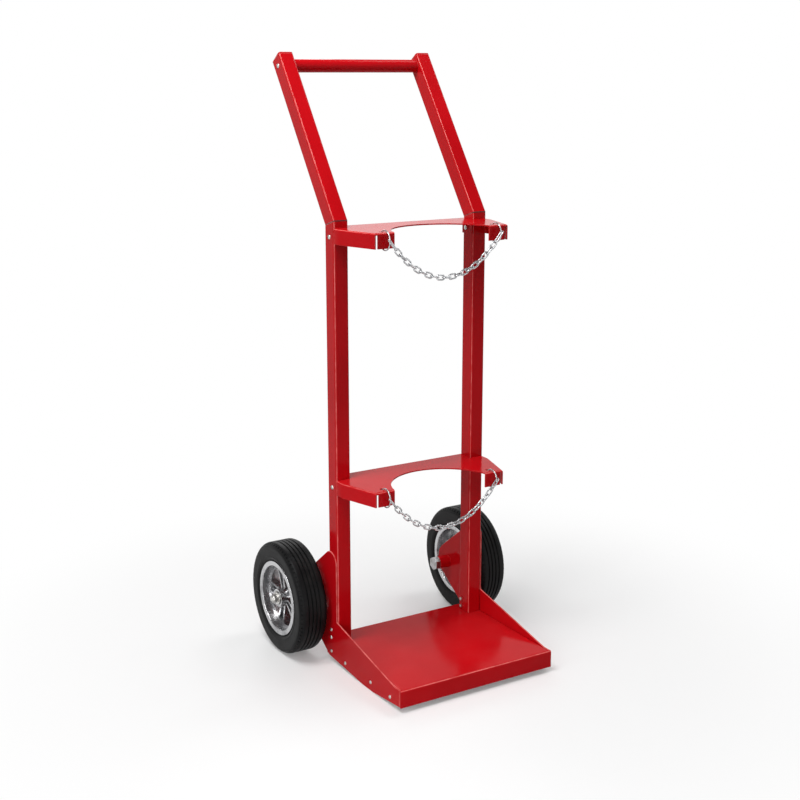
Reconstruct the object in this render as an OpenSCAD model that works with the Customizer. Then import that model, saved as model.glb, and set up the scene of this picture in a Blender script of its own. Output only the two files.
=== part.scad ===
// Two-wheeled trolley for one upright gas cylinder.
// Millimetres, Z up, the load side faces -Y, left is -X.
// Inside the modules y = 0 is the front face of the uprights; placed() moves that into the part's
// frame, whose origin is on the floor in the middle of the footprint.

/* [Frame] */
// Width over the two uprights
frame_w = 400; // [360:5:460]
// Width of the upright tube, across the trolley
tube_w = 36; // [32:1:44]
// Depth of the upright tube, front to back
tube_d = 42; // [38:1:50]
// Wall of the upright tube
tube_wall = 2; // [1.5:0.25:3]
// Outer corner radius of the upright tube
tube_r = 5; // [4:0.5:7]
// Height of the mitre seam at the front of the uprights
seam_h = 1035; // [900:5:1150]
// Backward lean of the handle arms, in degrees
arm_lean = 35; // [25:1:42]
// Length of a handle arm along its front face
arm_l = 432; // [360:2:500]

/* [Handle] */
// Outer diameter of the handle bar
bar_d = 30; // [26:1:32]
// Wall of the handle bar
bar_wall = 2.5; // [2:0.25:3.5]
// Distance of the bar's axis from the arm ends
bar_inset = 20; // [19:1:40]

/* [Cradles] */
// Distance from the mitre seam down to the upper cradle's top
upper_cradle_drop = 16; // [14:1:60]
// Height of the lower cradle's top above the floor
lower_cradle_h = 450; // [380:5:560]
// Reach of the cradles in front of the uprights
cradle_reach = 125; // [110:1:150]
// Inward taper of each cradle side from the uprights to the front
cradle_taper = 29; // [20:1:36]
// Height of the folded flanges and lips
flange_h = 34; // [30:1:40]
// Width of a front lip
lip_w = 41; // [36:1:48]
// Distance from the front edge out to the centre of the cut-out
cutout_ahead = 21; // [12:1:30]

/* [Sheet metal] */
// Thickness of the folded sheets and side plates
sheet_t = 3; // [2.5:0.25:4]
// Outer radius of the folds
fold_r = 5; // [4.5:0.25:7]

/* [Base] */
// Reach of the base plate in front of the uprights
base_reach = 283; // [250:1:310]
// Depth of the base plate behind the uprights
base_back = 22; // [16:1:40]
// Height of the base plate's top above the floor
base_h = 52; // [48:1:60]
// Height of the base plate's front lip
base_lip_h = 40; // [36:1:44]
// Height where the side plate's gusset meets the uprights
gusset_h = 107; // [96:1:140]
// Height of the side plate's rounded top
side_plate_h = 273; // [240:1:300]

/* [Wheels] */
// Outer diameter of the tyres
wheel_d = 268; // [240:2:290]
// Width of the tyres
tyre_w = 72; // [64:1:80]
// Diameter of the rim flange
rim_d = 179; // [164:1:184]
// Number of spokes in a rim
spoke_count = 5; // [4:1:6]
// Distance of the axle behind the front face of the uprights
axle_y = 149; // [130:1:170]
// Diameter of the axle
axle_d = 20; // [18:0.5:22]
// Gap between a side plate and its tyre
wheel_gap = 13; // [9:0.5:20]

/* [Chains] */
// Length of a hanging chain, as a multiple of its span
chain_slack = 1.2; // [1.12:0.02:1.4]
// Wire diameter of a chain link
wire_d = 3.5; // [3:0.25:4]
// Inner length of a chain link
link_l = 16; // [15:0.5:20]
// Wire diameter of the lip rings and the end links
ring_wire = 3; // [2.5:0.25:3.5]
// Inner length of an end link
end_link_l = 24; // [22:1:32]

/* [Hidden] */
$fn = 48;

// Colours
paint = "firebrick";
zinc = "silver";
alloy = "gainsboro";
rubber = "dimgray";
steel = "lightslategray";

// Clearances
slip = 0.2;
running = 0.05;
end_play = 0.5;
link_gap = 0.3;
through = 1;

// Frame
half_w = frame_w / 2;
inner_x = half_w - tube_w;
upright_z = base_h - base_lip_h + 4;
cap_t = 3;
cap_plug = 5;
mitre = arm_lean / 2;
arm_end_y = (arm_l + cap_t) * sin(arm_lean) + tube_d * cos(arm_lean);

// Fasteners: a dome-headed bolt and its nut
bolt_d = 6;
small_bolt_d = 5;
bar_bolt_d = 6;
bar_plug_l = 22;

// Cradles
upper_cradle_z = seam_h - upper_cradle_drop;
cradle_straight = 25;
front_x = half_w - cradle_taper;
lip_slit = 8;
lip_out = front_x - lip_slit;
lip_in = lip_out - lip_w;
cutout_r = norm([lip_in, cutout_ahead]);
cradle_back = tube_d - 2;
cradle_bolt_y = tube_d / 2;
cradle_bolt_drop = flange_h * 0.6;
taper_angle = atan(cradle_taper / (cradle_reach - cradle_straight));
crease = 0.03;

// Base and side plates
base_depth = tube_d + base_back;
toe_z = base_h - base_lip_h;
rocker_y = -base_reach * 0.5;
rocker_w = 40;
plate_x = half_w + sheet_t;
plate_front = -base_reach + fold_r + 1;
gusset_toe = 25;
gusset_foot = -base_reach + gusset_toe;
axle_end_r = 43;
top_r = 28;
top_c = [top_r + 2, side_plate_h - top_r];
upright_bolt_y = tube_d * 0.69;
bolt_edge = 9;
bolt_pitch = 19;
upright_bolt_z = [toe_z + 1.6 * bolt_edge, base_h + bolt_edge, base_h + bolt_edge + bolt_pitch];
base_bolt_y = [-base_reach * 0.13, -base_reach * 0.54, -base_reach * 0.84];
base_bolt_z = toe_z + bolt_edge;

// Wheels
wheel_r = wheel_d / 2;
axle_c = [axle_y, wheel_r];
wheel_x = plate_x + wheel_gap + tyre_w / 2;
axle_r = axle_d / 2;
rim_inset = 2;
rim_half = tyre_w / 2 - rim_inset;
rim_r = rim_d / 2;
flange_rise = 6;
barrel_t = 6;
flange_t = 3.6;
seat_r = rim_r - flange_rise;
well_r = seat_r - barrel_t;
shoulder_r = 14;
groove_w = 3;
groove_depth = 3.5;
groove_pitch = 10;
hub_wall = 11.5;
hub_inset = 4;
hub_r = axle_r + hub_wall;
hub_out = rim_half - hub_inset;
hub_in = rim_half;
bearing_wall = 7;
bearing_r = axle_r + bearing_wall;
bearing_w = 9;
hub_bore_r = bearing_r - 2;
bearing_set = 0.5;
spoke_t = 12;
spoke_rib = 5;
ledge_w = 7;
ledge_t = 4;
thread_d = 0.6 * axle_d;
head_af = 1.5 * axle_d;
nut_af = 1.6 * thread_d;
washer_d = head_af;
washer_t = 2.6;
hub_end_x = wheel_x + hub_out;
nut_x = hub_end_x + end_play + washer_t;
nut_t = 8;
axle_half = nut_x + nut_t;
boss_l = 30;
boss_wall = 6;
collar_wall = 4;
collar_l = wheel_x - hub_in - plate_x - end_play;

// Chains
ring_set = 6;
ring_x = (lip_out + lip_in) / 2;
lip_corner = norm([ring_set, flange_h / 2]);
ring_r = lip_corner + ring_wire * 1.5 - 0.4 * fold_r + 2 * link_gap;
ring_c = [-cradle_reach + ring_set, -flange_h / 2];
hole_y = ring_c[0] + sqrt(pow(ring_r, 2) - pow(flange_h / 2 - sheet_t / 2, 2));
hole_d = ring_wire * 3.6;
link_w = wire_d * 3.9;
end_link_w = 2 * ring_wire + wire_d + 2;
pitch = link_l - link_gap;
span = 2 * ring_x;
half_links = round((span * chain_slack - 2 * end_link_l) / pitch / 2 - 0.5);
link_count = 2 * half_links + 1;
lengths = concat([end_link_l], [for (i = [1:link_count]) pitch], [end_link_l]);

// The origin lies under the middle of the footprint
back_y = max(arm_end_y, axle_y + wheel_r);
front_y = (base_reach - back_y) / 2;

// Sum of the first n entries of a list
function sum_to(v, n) = n <= 0 ? 0 : v[n - 1] + sum_to(v, n - 1);

// A chain hangs so that the slope of each link grows with its distance from the lowest point
chain_l = sum_to(lengths, len(lengths));
mids = [for (i = [0:len(lengths) - 1]) sum_to(lengths, i) + lengths[i] / 2 - chain_l / 2];
function hang_angle(i, k) = atan(k * mids[i]);
function span_at(k) =
    sum_to([for (i = [0:len(lengths) - 1]) lengths[i] * cos(hang_angle(i, k))], len(lengths));
function solve_hang(low, high, steps) =
    let (mid = (low + high) / 2)
    steps == 0 ? mid
    : span_at(mid) > span ? solve_hang(mid, high, steps - 1) : solve_hang(low, mid, steps - 1);
hang = solve_hang(0, 0.1, 40);
angles = [for (i = [0:len(lengths) - 1]) hang_angle(i, hang)];
steps_x = [for (i = [0:len(lengths) - 1]) lengths[i] * cos(angles[i])];
steps_z = [for (i = [0:len(lengths) - 1]) lengths[i] * sin(angles[i])];
function chain_x(i) = -span / 2 + sum_to(steps_x, i);
function chain_z(i) = sum_to(steps_z, i);

// Points where the outer tangent of two circles touches them, on the side given by +1 or -1
function tangent(c1, r1, c2, r2, side) =
    let (d = c2 - c1, a = atan2(d[1], d[0]) + side * acos((r1 - r2) / norm(d)))
    [c1 + r1 * [cos(a), sin(a)], c2 + r2 * [cos(a), sin(a)]];

// Moves a sub-part into the part's frame
module placed() translate([0, front_y, 0]) children();

// Draws a left-hand sub-part on the side given by -1 or +1
module on_side(side) {
    if (side < 0) children();
    else mirror([1, 0, 0]) children();
}

module both_sides() {
    on_side(-1) children();
    on_side(1) children();
}

// A round bar along X, from x = 0 to x = l
module rod_x(d, l) rotate([0, 90, 0]) cylinder(d = d, h = l);

// Rectangle with round corners, centred on x and starting at y = 0
module rounded_rect(w, d, r) {
    translate([-w / 2, r]) square([w, d - 2 * r]);
    translate([-w / 2 + r, 0]) square([w - 2 * r, d]);
    for (x = [-w / 2 + r, w / 2 - r], y = [r, d - r]) translate([x, y]) circle(r = r);
}

module tube_section() difference() {
    rounded_rect(tube_w, tube_d, tube_r);
    translate([0, tube_wall])
        rounded_rect(tube_w - 2 * tube_wall, tube_d - 2 * tube_wall, tube_r - tube_wall);
}

// Everything above the mitre plane, which halves the angle between upright and arm
module above_mitre(size) translate([0, 0, seam_h]) rotate([-mitre, 0, 0])
    translate([-size / 2, -size / 2, 0]) cube(size);

// Dome-headed bolt along +X with its head's underside at x = 0, and a hexagon socket
module dome_bolt(d, l) {
    head_d = 1.75 * d;
    head_h = 0.55 * d;
    ball_r = (pow(head_d / 2, 2) + pow(head_h, 2)) / (2 * head_h);
    difference() {
        intersection() {
            translate([ball_r - head_h, 0, 0]) sphere(r = ball_r);
            translate([-head_h, 0, 0]) rod_x(head_d, head_h);
        }
        translate([-head_h - through, 0, 0]) rotate([0, 90, 0])
            cylinder(d = 0.72 * d, h = 0.35 * d + through, $fn = 6);
    }
    rod_x(d, l);
}

// Hexagon nut along +X
module nut(d) difference() {
    rotate([0, 90, 0]) cylinder(d = 1.62 * d / cos(30), h = 0.8 * d, $fn = 6);
    translate([-through, 0, 0]) rod_x(d + 2 * running, d + 2 * through);
}

// Uprights and handle arms
module upright_holes() {
    for (z = [upper_cradle_z, lower_cradle_h])
        translate([-half_w - through, cradle_bolt_y, z - cradle_bolt_drop])
            rod_x(bolt_d + slip, tube_w + 2 * through);
    for (z = upright_bolt_z)
        translate([-half_w - through, upright_bolt_y, z]) rod_x(small_bolt_d + slip, tube_w + 2 * through);
}

module upright() difference() {
    translate([-half_w + tube_w / 2, 0, upright_z]) linear_extrude(seam_h - upright_z) tube_section();
    above_mitre(4 * frame_w);
    upright_holes();
}

// Section of the plug that holds a cap in the end of a tube
module plug_section() {
    rim = tube_wall + slip;
    translate([0, rim]) rounded_rect(tube_w - 2 * rim, tube_d - 2 * rim, tube_r - rim);
}

module foot_cap() translate([-half_w + tube_w / 2, 0, upright_z]) {
    translate([0, 0, -cap_t]) linear_extrude(cap_t) rounded_rect(tube_w, tube_d, tube_r);
    linear_extrude(cap_plug) plug_section();
}

// Places children in an arm's own frame: z runs up the arm from the seam, y from its front face
module arm_frame() translate([-half_w + tube_w / 2, 0, seam_h]) rotate([-arm_lean, 0, 0]) children();

module handle_arm() difference() {
    intersection() {
        arm_frame() translate([0, 0, -tube_d]) linear_extrude(arm_l + tube_d) tube_section();
        above_mitre(4 * frame_w);
    }
    arm_frame() translate([-tube_w / 2 - through, tube_d / 2, arm_l - bar_inset])
        rod_x(bar_bolt_d + slip, tube_w + 2 * through);
}

module arm_cap() arm_frame() translate([0, 0, arm_l]) {
    linear_extrude(cap_t) rounded_rect(tube_w, tube_d, tube_r);
    translate([0, 0, -cap_plug]) linear_extrude(cap_plug) plug_section();
}

// Handle bar between the arms
module bar_frame() arm_frame() translate([tube_w / 2, tube_d / 2, arm_l - bar_inset]) children();

module bar_tube() bar_frame() difference() {
    rod_x(bar_d, 2 * inner_x);
    translate([-through, 0, 0]) rod_x(bar_d - 2 * bar_wall, 2 * inner_x + 2 * through);
}

module bar_plug() bar_frame() difference() {
    rod_x(bar_d - 2 * bar_wall - 2 * running, bar_plug_l);
    translate([-through, 0, 0]) rod_x(bar_bolt_d + 2 * running, bar_plug_l + 2 * through);
}

// Section of a folded edge: outer face at x = 0, sheet's top at y = 0, flange hanging down to y = -h
module fold_section(h) {
    difference() {
        translate([fold_r, -fold_r]) circle(r = fold_r);
        translate([fold_r, -fold_r]) circle(r = fold_r - sheet_t);
        translate([fold_r, -2 * fold_r - through]) square([fold_r + through, 2 * fold_r + 2 * through]);
        translate([-through, -2 * fold_r - through]) square([2 * fold_r, fold_r + through]);
    }
    translate([0, -h]) square([sheet_t, h - fold_r]);
}

// A fold along -Y, outer face at x = 0
module fold_forward(l, h) rotate([90, 0, 0]) linear_extrude(l) fold_section(h);

// A fold along +X, outer face at y = 0
module fold_across(l, h) rotate([90, 0, 90]) linear_extrude(l) fold_section(h);

// Rounds the top edge of a folded sheet, with a faint crease where the round meets each face.
// The edge runs along -Y at x = 0, z = 0, with the sheet at positive x.
module edge_round(l) rotate([90, 0, 0]) linear_extrude(l) difference() {
    translate([-through, -fold_r]) square(fold_r + through);
    translate([fold_r - crease, -fold_r + crease]) circle(r = fold_r);
}

// Cradles: one folded sheet each, drawn with its top at z = 0
module cradle_outline() polygon([
    [-inner_x, cradle_back], [-inner_x, 0],
    [-half_w, 0], [-half_w, -cradle_straight], [-front_x, -cradle_reach],
    [front_x, -cradle_reach], [half_w, -cradle_straight], [half_w, 0],
    [inner_x, 0], [inner_x, cradle_back]]);

// The space between the flanges, open at the back
module cradle_inside() {
    side_x = half_w - sheet_t;
    bend_y = -cradle_straight + sheet_t * tan(taper_angle / 2);
    tip_x = front_x + sheet_t * (tan(taper_angle) - 1 / cos(taper_angle));
    tip_y = -cradle_reach + sheet_t;
    polygon([
        [-side_x, through], [-side_x, bend_y], [-tip_x, tip_y],
        [tip_x, tip_y], [side_x, bend_y], [side_x, through]]);
    translate([-inner_x + sheet_t, 0]) square([2 * (inner_x - sheet_t), cradle_back + through]);
}

module cradle() difference() {
    translate([0, 0, -flange_h]) linear_extrude(flange_h) cradle_outline();
    translate([0, 0, -flange_h - through]) linear_extrude(flange_h - sheet_t + through) cradle_inside();
    translate([0, -cradle_reach - cutout_ahead, -flange_h - through])
        cylinder(r = cutout_r, h = flange_h + 2 * through, $fn = 96);
    translate([-half_w, cradle_bolt_y, -cradle_bolt_drop]) rod_x(bolt_d + slip, frame_w);
    translate([-half_w, -cradle_reach, 0]) rotate([0, 0, 90]) edge_round(frame_w);
    both_sides() {
        translate([-ring_x, hole_y, -2 * sheet_t]) cylinder(d = hole_d, h = 3 * sheet_t);
        translate([-front_x + sheet_t, -cradle_reach - through, -flange_h - through])
            cube([lip_slit - sheet_t, sheet_t + 2 * through, flange_h - fold_r + through]);
        translate([-half_w, through, 0]) edge_round(cradle_straight + through);
        translate([-half_w, -cradle_straight, 0]) rotate([0, 0, taper_angle]) edge_round(cradle_reach);
    }
}

module cradle_bolts() both_sides() translate([-half_w, cradle_bolt_y, -cradle_bolt_drop])
    dome_bolt(bolt_d, tube_w + sheet_t + bolt_d);

module cradle_nuts() both_sides() translate([-inner_x + sheet_t, cradle_bolt_y, -cradle_bolt_drop])
    nut(bolt_d);

// Base plate: a tray folded down on four sides and notched for the uprights. Its front lip also covers
// the ends of the side plates.
module base_tray() {
    notch = 2 * slip;
    slit = 8;
    difference() {
        union() {
            translate([0, 0, base_h - sheet_t]) linear_extrude(sheet_t) difference() {
                translate([-half_w + fold_r, -base_reach + fold_r])
                    square([frame_w - 2 * fold_r, base_reach + base_depth - 2 * fold_r]);
                for (side = [-1, 1]) translate([side * half_w, -notch])
                    translate([-tube_w - notch, 0]) square([2 * (tube_w + notch), tube_d + 2 * notch]);
            }
            translate([-plate_x, -base_reach, base_h]) fold_across(2 * plate_x, base_lip_h);
            translate([-half_w + slit, base_depth, base_h]) mirror([0, 1, 0])
                fold_across(frame_w - 2 * slit, base_lip_h);
            both_sides() {
                translate([-half_w, -notch, base_h]) fold_forward(base_reach - notch - slit, base_lip_h);
                translate([-half_w, base_depth - slit, base_h])
                    fold_forward(base_back - notch - slit, base_lip_h);
            }
        }
        for (y = base_bolt_y) translate([-half_w - through, y, base_bolt_z])
            rod_x(small_bolt_d + slip, frame_w + 2 * through);
    }
}

// Side plates: toe gusset, upright plate and axle plate cut in one piece, in y and z
module side_outline() {
    heel = [tube_d, toe_z];
    low = tangent(heel, 0, axle_c, axle_end_r, -1);
    high = tangent(axle_c, axle_end_r, top_c, top_r, -1);
    difference() {
        union() {
            polygon([
                [plate_front, toe_z], [rocker_y - rocker_w / 2, 0], [rocker_y + rocker_w / 2, 0], heel,
                low[1], high[0], high[1], [top_c[0] - top_r, top_c[1]], [top_c[0] - top_r, gusset_h],
                [gusset_foot, base_h], [plate_front, base_h]]);
            translate(axle_c) circle(r = axle_end_r);
            translate(top_c) circle(r = top_r);
        }
        translate(axle_c) circle(d = axle_d + slip);
        for (z = upright_bolt_z) translate([upright_bolt_y, z]) circle(d = small_bolt_d + slip);
        for (y = base_bolt_y) translate([y, base_bolt_z]) circle(d = small_bolt_d + slip);
    }
}

module side_plate() translate([-plate_x, 0, 0]) rotate([90, 0, 90]) linear_extrude(sheet_t) side_outline();

module side_bolts() {
    for (z = upright_bolt_z) translate([-plate_x, upright_bolt_y, z])
        dome_bolt(small_bolt_d, sheet_t + tube_w + small_bolt_d);
    for (y = base_bolt_y) translate([-plate_x, y, base_bolt_z])
        dome_bolt(small_bolt_d, 2 * sheet_t + small_bolt_d);
}

module side_nuts() {
    for (z = upright_bolt_z) translate([-inner_x, upright_bolt_y, z]) nut(small_bolt_d);
    for (y = base_bolt_y) translate([-half_w + sheet_t, y, base_bolt_z]) nut(small_bolt_d);
}

// Stub axles and what sits on them, drawn about the wheels' common axis
module axle_frame() translate([0, axle_c[0], axle_c[1]]) children();

module sleeve_x(r_in, r_out, l) difference() {
    rod_x(2 * r_out, l);
    translate([-through, 0, 0]) rod_x(2 * r_in, l + 2 * through);
}

// A stub axle is a long bolt: its head clamps the boss that stands on the inner face of the side plate,
// and its thinner outer end takes the washer and the cap nut
module stub_axle() {
    shoulder_x = nut_x - washer_t;
    translate([-axle_half, 0, 0]) rod_x(thread_d, axle_half - shoulder_x + through);
    translate([-shoulder_x, 0, 0]) rod_x(axle_d, shoulder_x - half_w + boss_l + through);
    translate([-half_w + boss_l, 0, 0]) rotate([0, 90, 0])
        cylinder(d = head_af / cos(30), h = 0.65 * axle_d, $fn = 6);
}

module cap_nut() translate([-axle_half, 0, 0]) difference() {
    union() {
        rotate([0, 90, 0]) cylinder(d = nut_af / cos(30), h = nut_t, $fn = 6);
        translate([0.15 * nut_t, 0, 0]) intersection() {
            sphere(d = 0.9 * nut_af);
            translate([-nut_af, 0, 0]) rod_x(nut_af, nut_af + 0.5 * nut_t);
        }
    }
    translate([-0.1 * nut_t, 0, 0]) rod_x(thread_d + 2 * running, 2 * nut_t);
}

// Wheels, turned about their own axis with the outer face at negative x
module wheel_frame() axle_frame() translate([-wheel_x, 0, 0]) rotate([0, 90, 0]) children();

module tyre_section() difference() {
    half = tyre_w / 2;
    union() {
        translate([rim_r + 10, -half]) square([wheel_r - shoulder_r - rim_r - 10, tyre_w]);
        translate([rim_r + 10, -half + shoulder_r]) square([wheel_r - rim_r - 10, tyre_w - 2 * shoulder_r]);
        for (a = [-half + shoulder_r, half - shoulder_r])
            translate([wheel_r - shoulder_r, a]) circle(r = shoulder_r);
        polygon([
            [seat_r + running, -rim_half + 4], [rim_r + 1, -rim_half + 3.8], [rim_r + 10, -half],
            [rim_r + 10, half], [rim_r + 1, rim_half - 3.8], [seat_r + running, rim_half - 4]]);
    }
    for (i = [-1.5:1.5]) translate([wheel_r - groove_depth, i * groove_pitch - groove_w / 2])
        square([groove_depth + through, groove_w]);
}

module tyre() wheel_frame() rotate_extrude() tyre_section();

// The rim's barrel has rounded ends that roll over into the flanges, and a ring that joins the spokes
module rim_section() {
    roll = barrel_t / 2;
    translate([well_r, roll - rim_half]) square([barrel_t, 2 * (rim_half - roll)]);
    for (side = [-1, 1]) {
        translate([well_r + roll, side * (rim_half - roll)]) circle(r = roll);
        translate([well_r + roll, side * (rim_half - flange_t / 2) - flange_t / 2])
            square([rim_r - flange_t / 2 - well_r - roll, flange_t]);
        translate([rim_r - flange_t / 2, side * (rim_half - flange_t / 2)]) circle(d = flange_t);
    }
    translate([well_r - ledge_w, -spoke_t - 1]) square([ledge_w + roll, ledge_t]);
    translate([hub_bore_r, -hub_out]) square([hub_r - hub_bore_r, hub_out + hub_in]);
}

// A band along a spoke, from y = a to y = b at the hub, which widens by flare towards the rim
module spoke_band(a, b, flare) polygon([
    [hub_r - 2, a], [well_r + 2, a + flare * sign(a)],
    [well_r + 2, b + flare * sign(b)], [hub_r - 2, b]]);

// One spoke along +X: a channel that widens from the hub to the rim, with a rib along each edge
module spoke() {
    half = 0.45 * hub_r;
    flare = 0.3 * hub_r;
    translate([0, 0, -0.3 * spoke_t]) linear_extrude(0.6 * spoke_t) spoke_band(1 - half, half - 1, flare);
    for (side = [-1, 1]) translate([0, 0, -spoke_t]) linear_extrude(1.4 * spoke_t)
        spoke_band(side * (half - spoke_rib), side * half, flare);
}

module rim() wheel_frame() difference() {
    union() {
        rotate_extrude() rim_section();
        for (i = [0:spoke_count - 1]) rotate([0, 0, 90 + i * 360 / spoke_count]) spoke();
    }
    seat_h = bearing_w + bearing_set + through;
    translate([0, 0, -hub_out - through]) cylinder(r = bearing_r, h = seat_h);
    translate([0, 0, hub_in + through - seat_h]) cylinder(r = bearing_r, h = seat_h);
}

module bearings() wheel_frame() for (a = [-hub_out + bearing_set, hub_in - bearing_set - bearing_w])
    translate([0, 0, a]) rotate_extrude() difference() {
        translate([axle_r + running, 0]) square([bearing_r - axle_r - 2 * running, bearing_w]);
        for (z = [0, bearing_w]) translate([axle_r + 2.5, z - 0.5]) square([bearing_r - axle_r - 5, 1]);
    }

module bearing_spacer() wheel_frame() translate([0, 0, -hub_out + bearing_set + bearing_w]) difference() {
    h = hub_out + hub_in - 2 * (bearing_set + bearing_w);
    cylinder(r = axle_r + 3, h = h);
    translate([0, 0, -through]) cylinder(r = axle_r + running, h = h + 2 * through);
}

// Chains: a welded link lies in the x-y plane with its length along x
module link(inner_l, outer_w, d) {
    crown_r = (outer_w - d) / 2;
    crown_x = inner_l / 2 - crown_r + d / 2;
    for (side = [-1, 1]) {
        translate([side * crown_x, 0, 0]) rotate([0, 0, -90 * side]) rotate_extrude(angle = 180)
            translate([crown_r, 0]) circle(d = d);
        translate([-crown_x, side * crown_r, 0]) rod_x(d, 2 * crown_x);
    }
}

// The chain's own frame: x across the trolley, z = 0 where its ends meet the rings
module chain_frame(cradle_z) translate([0, ring_c[0] - ring_r, cradle_z + ring_c[1]]) children();

module chain_links(cradle_z) chain_frame(cradle_z) for (i = [1:link_count])
    translate([chain_x(i), 0, chain_z(i)]) rotate([0, -angles[i], 0]) translate([pitch / 2, 0, 0])
        rotate([i % 2 == 1 ? 90 : 0, 0, 0]) link(link_l, link_w, wire_d);

// An end link hangs on the upright wire of a ring, so it leans out past the wire by its slope
module chain_end_links(cradle_z) chain_frame(cradle_z) both_sides() {
    tail = (ring_wire + 2 * link_gap) / cos(angles[0]) - ring_wire / 2;
    inner_l = tail + end_link_l + link_gap / 2;
    translate([chain_x(0), 0, 0]) rotate([0, -angles[0], 0]) translate([inner_l / 2 - tail, 0, 0])
        link(inner_l, end_link_w, ring_wire);
}

module chain_rings(cradle_z) for (x = [-ring_x, ring_x])
    translate([x, ring_c[0], cradle_z + ring_c[1]]) rotate([0, 90, 0]) rotate_extrude()
        translate([ring_r, 0]) circle(d = ring_wire);

// Sub-parts
module left_upright() color(paint) placed() on_side(-1) upright();
module right_upright() color(paint) placed() on_side(1) upright();
module upright_foot_caps() color(paint) placed() both_sides() foot_cap();
module left_handle_arm() color(paint) placed() on_side(-1) handle_arm();
module right_handle_arm() color(paint) placed() on_side(1) handle_arm();
module handle_arm_caps() color(paint) placed() both_sides() arm_cap();
module handle_bar() color(paint) placed() bar_tube();
module handle_bar_plugs() color(steel) placed() both_sides() bar_plug();
module handle_bolts() color(zinc) placed() both_sides() arm_frame()
    translate([-tube_w / 2, tube_d / 2, arm_l - bar_inset])
        dome_bolt(bar_bolt_d, tube_w + bar_plug_l - through);
module upper_cradle() color(paint) placed() translate([0, 0, upper_cradle_z]) cradle();
module upper_cradle_bolts() color(zinc) placed() translate([0, 0, upper_cradle_z]) cradle_bolts();
module upper_cradle_nuts() color(zinc) placed() translate([0, 0, upper_cradle_z]) cradle_nuts();
module lower_cradle() color(paint) placed() translate([0, 0, lower_cradle_h]) cradle();
module lower_cradle_bolts() color(zinc) placed() translate([0, 0, lower_cradle_h]) cradle_bolts();
module lower_cradle_nuts() color(zinc) placed() translate([0, 0, lower_cradle_h]) cradle_nuts();
module base_plate() color(paint) placed() base_tray();
module left_side_plate() color(paint) placed() on_side(-1) side_plate();
module right_side_plate() color(paint) placed() on_side(1) side_plate();
module left_side_bolts() color(zinc) placed() on_side(-1) side_bolts();
module right_side_bolts() color(zinc) placed() on_side(1) side_bolts();
module left_side_nuts() color(zinc) placed() on_side(-1) side_nuts();
module right_side_nuts() color(zinc) placed() on_side(1) side_nuts();
module axle() color(steel) placed() both_sides() axle_frame() stub_axle();
module axle_tube() color(paint) placed() both_sides() axle_frame() translate([-half_w, 0, 0])
    sleeve_x(axle_r + slip, axle_r + boss_wall, boss_l);
module axle_collars() color(zinc) placed() both_sides() axle_frame() translate([-plate_x - collar_l, 0, 0])
    sleeve_x(axle_r + slip, axle_r + collar_wall, collar_l);
module axle_washers() color(zinc) placed() both_sides() axle_frame() translate([-nut_x, 0, 0])
    sleeve_x(thread_d / 2 + slip, washer_d / 2, washer_t);
module axle_cap_nuts() color(zinc) placed() both_sides() axle_frame() cap_nut();
module left_tyre() color(rubber) placed() on_side(-1) tyre();
module left_rim() color(alloy) placed() on_side(-1) rim();
module left_bearings() color(steel) placed() on_side(-1) bearings();
module left_bearing_spacer() color(steel) placed() on_side(-1) bearing_spacer();
module right_tyre() color(rubber) placed() on_side(1) tyre();
module right_rim() color(alloy) placed() on_side(1) rim();
module right_bearings() color(steel) placed() on_side(1) bearings();
module right_bearing_spacer() color(steel) placed() on_side(1) bearing_spacer();
module upper_chain_rings() color(zinc) placed() chain_rings(upper_cradle_z);
module upper_chain_end_links() color(zinc) placed() chain_end_links(upper_cradle_z);
module upper_chain_links() color(zinc) placed() chain_links(upper_cradle_z);
module lower_chain_rings() color(zinc) placed() chain_rings(lower_cradle_h);
module lower_chain_end_links() color(zinc) placed() chain_end_links(lower_cradle_h);
module lower_chain_links() color(zinc) placed() chain_links(lower_cradle_h);

left_upright();
right_upright();
upright_foot_caps();
left_handle_arm();
right_handle_arm();
handle_arm_caps();
handle_bar();
handle_bar_plugs();
handle_bolts();
upper_cradle();
upper_cradle_bolts();
upper_cradle_nuts();
lower_cradle();
lower_cradle_bolts();
lower_cradle_nuts();
base_plate();
left_side_plate();
right_side_plate();
left_side_bolts();
right_side_bolts();
left_side_nuts();
right_side_nuts();
axle();
axle_tube();
axle_collars();
axle_washers();
axle_cap_nuts();
left_tyre();
left_rim();
left_bearings();
left_bearing_spacer();
right_tyre();
right_rim();
right_bearings();
right_bearing_spacer();
upper_chain_rings();
upper_chain_end_links();
upper_chain_links();
lower_chain_rings();
lower_chain_end_links();
lower_chain_links();
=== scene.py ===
"""Looks for the gas cylinder trolley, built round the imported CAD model."""
import math

import bmesh
import bpy
import numpy as np
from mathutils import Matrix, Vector


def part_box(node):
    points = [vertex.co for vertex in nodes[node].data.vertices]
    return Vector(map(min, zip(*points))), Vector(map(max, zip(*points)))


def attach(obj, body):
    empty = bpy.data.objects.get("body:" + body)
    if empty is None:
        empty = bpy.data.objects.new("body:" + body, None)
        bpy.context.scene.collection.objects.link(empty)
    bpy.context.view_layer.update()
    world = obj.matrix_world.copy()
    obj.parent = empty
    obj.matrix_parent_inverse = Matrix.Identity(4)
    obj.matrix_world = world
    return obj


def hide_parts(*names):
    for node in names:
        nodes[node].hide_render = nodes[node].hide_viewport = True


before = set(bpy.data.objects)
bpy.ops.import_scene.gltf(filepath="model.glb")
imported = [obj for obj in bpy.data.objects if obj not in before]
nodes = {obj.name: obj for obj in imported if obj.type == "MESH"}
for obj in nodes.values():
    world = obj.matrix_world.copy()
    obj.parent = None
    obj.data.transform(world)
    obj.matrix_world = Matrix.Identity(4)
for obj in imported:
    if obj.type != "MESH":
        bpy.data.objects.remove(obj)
scene = bpy.context.scene
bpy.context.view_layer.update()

# Edges of the CAD pieces, in metres and degrees

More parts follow.
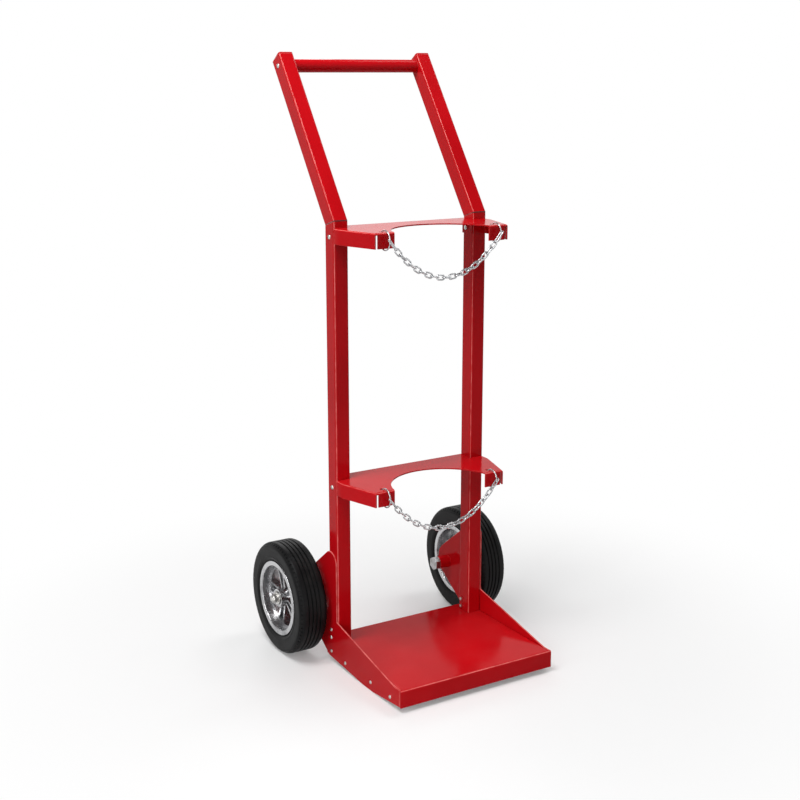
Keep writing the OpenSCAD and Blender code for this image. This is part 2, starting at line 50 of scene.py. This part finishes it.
MM = 0.001
TUBE_EDGE = 1.3 * MM
PLATE_EDGE = 1.4 * MM
FOLD_EDGE = 0.7 * MM
CAP_EDGE = 0.5 * MM
FASTENER_EDGE = 0.3 * MM
HUB_EDGE = 0.5 * MM
RIM_EDGE = 0.8 * MM
EDGE_STEPS = 3
EDGE_ANGLE = 32
FLAT_ANGLE = 1
SAME_POINT = 1e-5
# A facet in the middle of a rounded corner has this share of its normal along one side's axis
CORNER_LOW, CORNER_HIGH = 0.56, 0.83

# Tyre section, in mm: the bead's seat, then lines of points from the bead to the tread

SEAT_DROP = 6
SEAT_INSET = 6.1
SEAT_SLIP = 0.2
SHOULDER = 14
WALL_RISE = 4
WALL_INSET = 0.12
# Inset from the tyre's side, and rise over the rim's flange
BEAD_LINE = (
    (5.9, 0.8), (4.6, 2.2), (2.4, 4.2), (0.9, 7.0), (0.25, 9.4),
    (0.2, 10.6), (0.9, 11.0), (0.95, 12.0), (0.45, 12.6),
)
# Degrees round the shoulder, depth of the lines that run round the tyre, depth of the notches
SHOULDER_LINE = (
    (8, 0, 0), (16, 0, 0), (21, 0, 0), (22, 0.9, 0), (25, 0.9, 0), (26, 0, 0), (31, 0, 0), (36, 0, 0),
    (37.5, 0, 1.9), (44, 0, 2.1), (51, 0, 2.1), (58, 0, 1.9), (59.5, 0, 0), (63, 0, 0), (64, 1.3, 0),
    (68, 1.3, 0), (69, 0, 0), (76, 0, 0), (83, 0, 0), (90, 0, 0),
)
# Middles of the grooves on one half of the tread, then offset and depth across one groove
GROOVES = (-15, -5)
GROOVE_STEP = 10
GROOVE_LINE = (
    (-1.8, 0), (-1.45, 0.4), (-1.25, 3.1), (-0.8, 3.5), (0.8, 3.5), (1.25, 3.1), (1.45, 0.4), (1.8, 0),
)
# Notches round the tyre; along one pitch, the share of the way and whether the notch is sunk there
NOTCHES = 74
NOTCH_STEPS = ((0.0, 0), (0.2, 0), (0.4, 0), (0.6, 0), (0.62, 1), (0.8, 1), (0.98, 1))

# Weld on a chain link, in wire radii, and the groove of a mitre joint, in metres

WELD_RINGS, WELD_SIDES = 7, 12
WELD_REACH = 0.95
WELD_SWELL = 1.17
WELD_FULLNESS = 0.6
JOINT_DEPTH = 0.2 * MM
JOINT_HALF = 1.2 * MM
ON_PLANE = 2e-5
ROUND_PLACES = 5

# Largest angle that stays smooth on a new piece, in degrees

TYRE_SMOOTH = 28.0
WELD_SMOOTH = 80.0
JOINT_SMOOTH = 50.0

# Stage, in metres, degrees and watts

FLOOR_HALF = 30.0
FLOOR_DROP = 0.0003
WHITE = (1, 1, 1, 1)
SURROUND_LEVEL = 0.28
# Name, place, aim, power, width, height and spread of each soft box
LAMPS = (
    ("key", (-1.2, -0.4, 3.2), (0, 0, 0.7), 60.0, 1.3, 1.3, 180.0),
    ("front", (-0.9, -2.6, 2.9), (0, 0, 0.8), 4.0, 1.2, 0.8, 180.0),
    ("fill", (2.8, -0.4, 1.6), (0, 0, 0.7), 9.0, 0.8, 1.8, 180.0),
    ("top", (1.6, 0.2, 3.0), (0, 0, 0.5), 18.0, 0.9, 1.2, 180.0),
    ("back", (0.7, 2.7, 2.3), (0, 0, 0.7), 14.0, 1.2, 1.0, 180.0),
    ("low", (-0.85, -1.15, 0.22), (-0.05, -0.3, 0.03), 0.8, 0.5, 0.2, 80.0),
    ("strip", (-2.0, -0.65, 1.3), (0, 0, 0.7), 10.0, 0.14, 1.5, 180.0),
)
CAMERA_AT = (-1.5763, -2.5359, 1.3451)
CAMERA_TILT = 76.222
CAMERA_TURN = -31.333
LENS_MM = 60.05
SENSOR_MM = 36.0

# Node-graph helpers


def new_material(name):
    material = bpy.data.materials.new(name)
    material.use_nodes = True
    tree = material.node_tree
    return material, tree, tree.nodes["Principled BSDF"]


def add(tree, kind, inputs=None, **settings):
    """A shader node with its settings, and with sockets linked or set by name or index."""
    made = tree.nodes.new("ShaderNode" + kind)
    for key, value in settings.items():
        setattr(made, key, value)
    for key, value in (inputs or {}).items():
        if isinstance(value, bpy.types.NodeSocket):
            tree.links.new(value, made.inputs[key])
        else:
            made.inputs[key].default_value = value
    return made


def place(tree, stretch=(1, 1, 1)):
    """Coordinates fixed to the piece, in metres."""
    coords = add(tree, "TexCoord").outputs["Object"]
    return add(tree, "Mapping", {"Vector": coords, "Scale": stretch}).outputs["Vector"]


def noise(tree, coords, scale, detail=3.0, roughness=0.55):
    inputs = {"Vector": coords, "Scale": scale, "Detail": detail, "Roughness": roughness}
    return add(tree, "TexNoise", inputs).outputs["Fac"]


def remap(tree, value, low, high, to_low=0.0, to_high=1.0):
    """A soft step from to_low to to_high, as value goes from low to high."""
    inputs = {"Value": value, 1: low, 2: high, 3: to_low, 4: to_high}
    return add(tree, "MapRange", inputs, interpolation_type="SMOOTHSTEP").outputs["Result"]


def maths(tree, operation, a, b):
    return add(tree, "Math", {0: a, 1: b}, operation=operation).outputs["Value"]


def scaled(tree, value, factor, base):
    """value times factor, plus base."""
    inputs = {0: value, 1: factor, 2: base}
    return add(tree, "Math", inputs, operation="MULTIPLY_ADD").outputs["Value"]


def mix(tree, factor, a, b):
    """Colour a where factor is 0, b where it is 1; the node's sockets 6 and 7 take the colours."""
    made = add(tree, "Mix", {0: factor}, data_type="RGBA")
    for socket, colour in ((made.inputs[6], a), (made.inputs[7], b)):
        if isinstance(colour, bpy.types.NodeSocket):
            tree.links.new(colour, socket)
        else:
            socket.default_value = (*colour, 1)
    return made.outputs[2]


def bump(tree, height, strength, distance, normal=None):
    inputs = {"Height": height, "Strength": strength, "Distance": distance}
    if normal is not None:
        inputs["Normal"] = normal
    return add(tree, "Bump", inputs).outputs["Normal"]


def upward(tree):
    """1 on faces that look up, where dust settles."""
    normal = add(tree, "NewGeometry").outputs["Normal"]
    z = add(tree, "SeparateXYZ", {0: normal}).outputs["Z"]
    return remap(tree, z, 0.55, 0.98)


def camera_rays(tree):
    return add(tree, "LightPath").outputs["Is Camera Ray"]


def mirror_rays(tree):
    """1 for rays that a mirroring or clear surface sends on, which show the background too."""
    path = add(tree, "LightPath").outputs
    return maths(tree, "MAXIMUM", path["Is Glossy Ray"], path["Is Transmission Ray"])


def link(tree, socket, shader, name):
    tree.links.new(socket, shader.inputs[name])


# Materials


def paint(name, worn_highlight):
    """Red powder coat. The edge version is for edges: a little chipped to primer, and lighter where its
    coat is thinner, which is also a painted highlight along the edges.
    """
    deep, bright = (0.50, 0.0030, 0.0065), (0.58, 0.0042, 0.0085)
    dust_colour, thin_coat_highlight, primer = (0.60, 0.34, 0.31), (0.92, 0.26, 0.24), (0.26, 0.20, 0.18)
    material, tree, shader = new_material(name)
    at = place(tree)
    broad = noise(tree, at, 4.0)
    grime = remap(tree, noise(tree, at, 60.0, 6.0, 0.7), 0.45, 0.75)
    film = remap(tree, noise(tree, at, 9.0, 4.0, 0.6), 0.35, 0.8)
    specks = remap(tree, noise(tree, at, 420.0, 3.0, 0.6), 0.60, 0.72)
    dust = maths(tree, "MULTIPLY", upward(tree), maths(tree, "ADD", film, specks))
    rubbed = remap(tree, noise(tree, place(tree, (300, 300, 12)), 1.0, 2.0), 0.64, 0.74)
    colour = mix(tree, remap(tree, broad, 0.3, 0.7), deep, bright)
    colour = mix(tree, maths(tree, "MULTIPLY", dust, 0.022), colour, dust_colour)
    if worn_highlight:
        # Lighter, thinner coat along edges, partly wear and partly a painted highlight; the chips to
        # primer are wear
        chips = remap(tree, noise(tree, at, 230.0, 5.0, 0.7), 0.66, 0.69)
        thin_highlight = remap(tree, noise(tree, at, 34.0, 5.0, 0.65), 0.32, 0.68, 0.22, 0.72)
        colour = mix(tree, thin_highlight, colour, thin_coat_highlight)
        colour = mix(tree, chips, colour, primer)
    link(tree, colour, shader, "Base Color")
    rough = scaled(tree, grime, 0.06, 0.12)
    rough = maths(tree, "ADD", rough, maths(tree, "MULTIPLY", dust, 0.05))
    rough = maths(tree, "ADD", rough, maths(tree, "MULTIPLY", rubbed, 0.05))
    link(tree, rough, shader, "Roughness")
    peel = bump(tree, noise(tree, at, 560.0, 1.0), 0.10, 0.0004)
    link(tree, bump(tree, broad, 0.2, 0.001, peel), shader, "Normal")
    shader.inputs["Specular IOR Level"].default_value = 0.06
    return material


def plated(name, bright, dull, rough, grain):
    """Zinc-plated or bare metal with a faint mottled passivation."""
    material, tree, shader = new_material(name)
    at = place(tree)
    mottle = remap(tree, noise(tree, at, grain, 5.0, 0.6), 0.35, 0.7)
    link(tree, mix(tree, mottle, bright, dull), shader, "Base Color")
    link(tree, scaled(tree, mottle, 0.16, rough), shader, "Roughness")
    link(tree, bump(tree, noise(tree, at, 900.0, 2.0), 0.12, 0.0002), shader, "Normal")
    shader.inputs["Metallic"].default_value = 1.0
    return material


def cast_alloy():
    """Polished cast aluminium: bright, with a fine cast grain and a film of grey dust."""
    bright, dull = (0.55, 0.55, 0.56), (0.27, 0.27, 0.28)
    material, tree, shader = new_material("cast_alloy")
    at = place(tree)
    film = remap(tree, noise(tree, at, 26.0, 6.0, 0.65), 0.42, 0.75)
    link(tree, mix(tree, film, bright, dull), shader, "Base Color")
    link(tree, scaled(tree, film, 0.18, 0.22), shader, "Roughness")
    link(tree, bump(tree, noise(tree, at, 480.0, 4.0, 0.6), 0.14, 0.0003), shader, "Normal")
    shader.inputs["Metallic"].default_value = 1.0
    return material


def joint_shade():
    """Painted shade for the bottom of a groove: dark red, mottled with a darker red."""
    shade_red, deeper_shade = (0.060, 0.0010, 0.0015), (0.020, 0.004, 0.004)
    material, tree, shader = new_material("joint_shade")
    patches = remap(tree, noise(tree, place(tree), 160.0, 5.0, 0.7), 0.4, 0.7)
    link(tree, mix(tree, patches, shade_red, deeper_shade), shader, "Base Color")
    link(tree, remap(tree, patches, 0.0, 1.0, 0.5, 0.8), shader, "Roughness")
    return material


def rubber():
    """Black tyre rubber with a dusty, slightly greyed surface."""
    black, greyed = (0.005, 0.005, 0.0055), (0.015, 0.0147, 0.0143)
    material, tree, shader = new_material("tyre_rubber")
    at = place(tree)
    dusty = remap(tree, noise(tree, at, 30.0, 6.0, 0.7), 0.4, 0.8)
    link(tree, mix(tree, dusty, black, greyed), shader, "Base Color")
    link(tree, scaled(tree, dusty, 0.2, 0.42), shader, "Roughness")
    link(tree, bump(tree, noise(tree, at, 700.0, 4.0, 0.65), 0.3, 0.0004), shader, "Normal")
    shader.inputs["Specular IOR Level"].default_value = 0.12
    return material


RED = paint("red_paint", worn_highlight=False)
RED_EDGE_HIGHLIGHT = paint("red_paint_edge_highlight", worn_highlight=True)
ZINC = plated("zinc_fasteners", (0.62, 0.61, 0.59), (0.42, 0.41, 0.39), 0.24, 120.0)
CHAIN = plated("zinc_chain", (0.56, 0.57, 0.58), (0.32, 0.33, 0.34), 0.17, 160.0)
STEEL = plated("bare_steel", (0.46, 0.46, 0.47), (0.30, 0.29, 0.28), 0.26, 90.0)
ALLOY = cast_alloy()
RUBBER = rubber()
JOINT_SHADE = joint_shade()

# Finishes and edges of the CAD pieces


def dress(names, material, edge=None, width=0.0, clamp=True):
    """Gives CAD pieces a finish, welded smooth surfaces and, where width is given, rounded edges."""
    for name in names:
        piece = nodes[name]
        mesh = piece.data
        mesh.materials.clear()
        mesh.materials.append(material)
        if edge:
            mesh.materials.append(edge)
        if "custom_normal" in mesh.attributes:
            mesh.attributes.remove(mesh.attributes["custom_normal"])
        mesh.shade_smooth()
        piece.modifiers.new("weld", "WELD").merge_threshold = SAME_POINT
        if width:
            flat = piece.modifiers.new("flat", "DECIMATE")
            flat.decimate_type = "DISSOLVE"
            flat.angle_limit = math.radians(FLAT_ANGLE)
            rounding = piece.modifiers.new("round", "BEVEL")
            rounding.width = width
            rounding.segments = EDGE_STEPS
            rounding.limit_method = "ANGLE"
            rounding.angle_limit = math.radians(EDGE_ANGLE)
            rounding.use_clamp_overlap = clamp
            # The rounding faces take the edge paint, whose lighter coat is partly wear and partly a
            # painted highlight
            if edge:
                rounding.material = 1
        normals = piece.modifiers.new("normals", "WEIGHTED_NORMAL")
        normals.keep_sharp = True


def paint_corner_highlights(names, turned):
    """Gives the middle facets of the outer corners of tubes and folds the lighter edge paint, a painted
    highlight line along each corner, where turned says so of a face's normal.
    """
    for name in names:
        for face in nodes[name].data.polygons:
            if turned(*face.normal):
                face.material_index = 1


SIDE_TUBES = ["left_upright", "right_upright", "left_handle_arm", "right_handle_arm"]
TUBES = SIDE_TUBES + ["handle_bar"]
PLATES = ["left_side_plate", "right_side_plate"]
FOLDED = ["upper_cradle", "lower_cradle", "base_plate"]
CAPS = ["upright_foot_caps", "handle_arm_caps", "axle_tube"]
BOLTS = ["handle_bolts", "upper_cradle_bolts", "lower_cradle_bolts", "left_side_bolts", "right_side_bolts"]
NUTS = ["upper_cradle_nuts", "lower_cradle_nuts", "left_side_nuts", "right_side_nuts"]
HUBS = ["axle_collars", "axle_washers", "axle_cap_nuts"]
BEARINGS = [a + b for a in ("left_", "right_") for b in ("bearings", "bearing_spacer")]
BARE = ["axle", "handle_bar_plugs"] + BEARINGS
CHAINS = [a + b for a in ("upper_chain_", "lower_chain_") for b in ("rings", "end_links", "links")]
dress(TUBES, RED, RED_EDGE_HIGHLIGHT, TUBE_EDGE, clamp=False)
dress(PLATES, RED, RED_EDGE_HIGHLIGHT, PLATE_EDGE, clamp=False)
dress(FOLDED, RED, RED_EDGE_HIGHLIGHT, FOLD_EDGE)
dress(CAPS, RED, RED_EDGE_HIGHLIGHT, CAP_EDGE)
# Painted highlight: the facets in the middle of each rounded corner take the lighter edge paint
paint_corner_highlights(SIDE_TUBES, lambda x, y, z: CORNER_LOW < abs(x) < CORNER_HIGH)
paint_corner_highlights(FOLDED, lambda x, y, z: CORNER_LOW < z < CORNER_HIGH)
dress(BOLTS + NUTS, ZINC, None, FASTENER_EDGE)
dress(HUBS, ZINC, None, HUB_EDGE)
dress(BARE, STEEL, None, FASTENER_EDGE)
dress(CHAINS, CHAIN)
dress(["left_rim", "right_rim"], ALLOY, None, RIM_EDGE)

# New pieces


def piece_from(name, points, faces, material, smooth_angle):
    """An object from points and faces, with its normals out and its sharper edges kept sharp."""
    mesh = bpy.data.meshes.new(name)
    mesh.from_pydata(points, [], faces)
    solid = bmesh.new()
    solid.from_mesh(mesh)
    bmesh.ops.recalc_face_normals(solid, faces=solid.faces)
    solid.to_mesh(mesh)
    solid.free()
    mesh.materials.append(material)
    mesh.shade_smooth()
    mesh.set_sharp_from_angle(angle=math.radians(smooth_angle))
    made = bpy.data.objects.new(name, mesh)
    scene.collection.objects.link(made)
    return made


def tyre_half(half, tread_r, rim_r):
    """Half of a tyre's section, from the bead to the middle of the tread, in mm.
    Each point is (across, out, cut): cut is how far the shoulder notches sink it."""
    line = [(-half + SEAT_INSET, rim_r - SEAT_DROP + SEAT_SLIP, 0.0)]
    line += [(-half + inset, rim_r + rise, 0.0) for inset, rise in BEAD_LINE]
    across, out = -half + SHOULDER, tread_r - SHOULDER
    line += [(-half + WALL_INSET, out - WALL_RISE, 0.0), (-half, out, 0.0)]
    for degrees, sink, cut in SHOULDER_LINE:
        turn, radius = math.radians(degrees), SHOULDER - sink
        line.append((across - radius * math.cos(turn), out + radius * math.sin(turn), cut))
    for middle in GROOVES:
        line += [(middle + a, tread_r - depth, 0.0) for a, depth in GROOVE_LINE]
        line.append((middle + GROOVE_STEP / 2, tread_r, 0.0))
    return line


def make_tyre(side):
    low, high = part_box(side + "_tyre")
    rim_low, rim_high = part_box(side + "_rim")
    centre = (low + high) / 2
    half, tread_r = (high.x - low.x) / 2 / MM, (high.z - low.z) / 2 / MM
    line = tyre_half(half, tread_r, (rim_high.z - rim_low.z) / 2 / MM)
    line += [(-a, r, cut) for a, r, cut in reversed(line[:-1])]
    points, faces = [], []
    for i in range(NOTCHES):
        for share, sunk in NOTCH_STEPS:
            turn = 2 * math.pi * (i + share) / NOTCHES
            for a, r, cut in line:
                r -= cut * sunk
                points.append((a * MM, r * MM * math.sin(turn), r * MM * math.cos(turn)))
    n, rows = len(line), NOTCHES * len(NOTCH_STEPS)
    for row in range(rows):
        here, there = row * n, (row + 1) % rows * n
        for i in range(n - 1):
            faces.append((here + i, here + i + 1, there + i + 1, there + i))
        faces.append((here + n - 1, here, there, there + n - 1))
    tyre = piece_from(side + "_tyre_tread", points, faces, RUBBER, TYRE_SMOOTH)
    tyre.location = centre
    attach(tyre, side + "_wheel")
    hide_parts(side + "_tyre")


def solids_of(name):
    """The separate solids of a CAD node, each as an array of its corners in metres."""
    mesh = bmesh.new()
    mesh.from_mesh(nodes[name].data)
    bmesh.ops.remove_doubles(mesh, verts=mesh.verts, dist=1e-6)
    seen, found = set(), []
    for start in mesh.verts:
        if start in seen:
            continue
        seen.add(start)
        queue, island = [start], []
        while queue:
            vert = queue.pop()
            island.append(tuple(vert.co))
            for edge in vert.link_edges:
                other = edge.other_vert(vert)
                if other not in seen:
                    seen.add(other)
                    queue.append(other)
        found.append(np.array(island))
    mesh.free()
    return found


def make_link_welds(chain):
    """The small swelling on one leg of each link, where its wire was butt-welded."""
    points, faces = [], []
    for corners in solids_of(chain + "_links"):
        centre = (corners.min(0) + corners.max(0)) / 2
        corners -= centre
        flat, wide, along = np.linalg.eigh(np.cov(corners.T))[1].T
        wire_r = np.abs(corners @ flat).max()
        leg = centre + wide * (np.abs(corners @ wide).max() - wire_r)
        first = len(points)
        for i in range(WELD_RINGS):
            t = math.pi * (i + 0.5) / WELD_RINGS
            ring = leg + along * wire_r * WELD_REACH * math.cos(t)
            swell = wire_r * WELD_SWELL * math.sin(t) ** WELD_FULLNESS
            for j in range(WELD_SIDES):
                turn = 2 * math.pi * j / WELD_SIDES
                points.append(tuple(ring + (math.cos(turn) * wide + math.sin(turn) * flat) * swell))
        for i in range(WELD_RINGS - 1):
            for j in range(WELD_SIDES):
                a, b = (first + i * WELD_SIDES + k % WELD_SIDES for k in (j, j + 1))
                faces.append((a, a + WELD_SIDES, b + WELD_SIDES, b))
        last = len(points) - 1
        faces.append(tuple(range(first, first + WELD_SIDES)))
        faces.append(tuple(range(last, last - WELD_SIDES, -1)))
    welds = piece_from(chain + "_link_welds", points, faces, CHAIN, WELD_SMOOTH)
    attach(welds, chain)


def outline(points):
    """The outer outline of flat points, as a convex loop."""
    def half_loop(run):
        kept = []
        for at in run:
            while len(kept) > 1:
                (ax, ay), (bx, by) = kept[-2], kept[-1]
                if (bx - ax) * (at[1] - ay) - (by - ay) * (at[0] - ax) > 0:
                    break
                kept.pop()
            kept.append(at)
        return kept[:-1]
    run = sorted(points)
    return half_loop(run) + half_loop(run[::-1])


def make_joint_line(side):
    """A dark band at the bottom of the open groove where a handle arm is mitred on its upright: painted
    shade in the groove.
    """
    def corners(name):
        return np.array([tuple(v.co) for v in nodes[name].data.vertices])
    upright, arm = corners(side + "_upright"), corners(side + "_handle_arm")
    upright_set, arm_set = ({tuple(at) for at in c.round(ROUND_PLACES)} for c in (upright, arm))
    shared = np.array(sorted(upright_set & arm_set))
    centre = (shared.min(0) + shared.max(0)) / 2
    across, along, normal = np.linalg.svd(shared - centre)[2]
    upright -= centre
    on_cut = upright[np.abs(upright @ normal) < ON_PLANE]
    loop = outline([(at @ across, at @ along) for at in on_cut])
    points, faces = [], []
    for a, b in loop:
        reach = math.hypot(a, b)
        for depth, half in ((1, -1), (1, 1), (2, 1), (2, -1)):
            at = centre + (a * across + b * along) * (1 - depth * JOINT_DEPTH / reach)
            points.append(tuple(at + normal * half * JOINT_HALF))
    for i in range(len(loop)):
        here, there = 4 * i, 4 * ((i + 1) % len(loop))
        for k in range(4):
            faces.append((here + k, here + (k + 1) % 4, there + (k + 1) % 4, there + k))
    line = piece_from(side + "_joint_line", points, faces, JOINT_SHADE, JOINT_SMOOTH)
    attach(line, "frame")


for side in ("left", "right"):
    make_tyre(side)
    make_joint_line(side)
for chain in ("upper_chain", "lower_chain"):
    make_link_welds(chain)

# Stage: a pale floor, a white surround for the camera and for mirrors, and soft boxes


def make_floor():
    """A pale floor that keeps the shadow near the trolley and fades to plain white further out."""
    unseen, seen_colour = (0.46, 0.46, 0.47), (0.92, 0.92, 0.92)
    s = FLOOR_HALF
    mesh = bpy.data.meshes.new("floor")
    mesh.from_pydata([(-s, -s, 0), (s, -s, 0), (s, s, 0), (-s, s, 0)], [], [(0, 1, 2, 3)])
    floor = bpy.data.objects.new("floor", mesh)
    floor.location.z = -FLOOR_DROP
    scene.collection.objects.link(floor)
    material, tree, shader = new_material("floor")
    shader.inputs["Roughness"].default_value = 0.5
    shader.inputs["Specular IOR Level"].default_value = 0.2
    away = add(tree, "VectorMath", {0: place(tree)}, operation="LENGTH").outputs["Value"]
    seen = maths(tree, "MAXIMUM", camera_rays(tree), mirror_rays(tree))
    link(tree, mix(tree, seen, unseen, seen_colour), shader, "Base Color")
    fade = maths(tree, "MULTIPLY", seen, remap(tree, away, 0.25, 1.25, 0.20, 1.0))
    white = add(tree, "Emission", {"Color": WHITE, "Strength": 1.0}).outputs[0]
    both = add(tree, "MixShader", {0: fade, 1: shader.outputs[0], 2: white}).outputs[0]
    tree.links.new(both, tree.nodes["Material Output"].inputs["Surface"])
    mesh.materials.append(material)


def make_world():
    """A soft sky that lights the trolley; cameras see it white, and mirrors do up to some height."""
    horizon, zenith = (0.20, 0.21, 0.22), (0.85, 0.85, 0.85)
    world = bpy.data.worlds.new("surround")
    scene.world = world
    world.use_nodes = True
    tree = world.node_tree
    tree.nodes.clear()
    direction = add(tree, "TexCoord").outputs["Generated"]
    height = add(tree, "SeparateXYZ", {0: direction}).outputs["Z"]
    glow = mix(tree, remap(tree, height, -0.1, 0.9), horizon, zenith)
    lit = add(tree, "Background", {"Color": glow, "Strength": SURROUND_LEVEL}).outputs[0]
    white = add(tree, "Background", {"Color": WHITE, "Strength": 1.0}).outputs[0]
    mirrored = maths(tree, "MULTIPLY", mirror_rays(tree), remap(tree, height, 0.35, 0.75, 1.0, 0.0))
    seen = maths(tree, "MAXIMUM", camera_rays(tree), mirrored)
    both = add(tree, "MixShader", {0: seen, 1: lit, 2: white}).outputs[0]
    add(tree, "OutputWorld", {"Surface": both})


def soft_box(name, at, aim, power, width, height, spread):
    data = bpy.data.lights.new(name, "AREA")
    data.shape = "RECTANGLE"
    data.size, data.size_y = width, height
    data.energy = power
    data.spread = math.radians(spread)
    box = bpy.data.objects.new(name, data)
    box.location = at
    box.rotation_euler = (Vector(aim) - Vector(at)).to_track_quat("-Z", "Y").to_euler()
    box.visible_camera = False
    scene.collection.objects.link(box)


def make_camera():
    data = bpy.data.cameras.new("camera")
    data.sensor_width = SENSOR_MM
    data.lens = LENS_MM
    camera = bpy.data.objects.new("camera", data)
    camera.location = CAMERA_AT
    camera.rotation_euler = (math.radians(CAMERA_TILT), 0, math.radians(CAMERA_TURN))
    scene.collection.objects.link(camera)
    scene.camera = camera


make_floor()
make_world()
for lamp in LAMPS:
    soft_box(*lamp)
make_camera()
scene.view_settings.view_transform = "Standard"
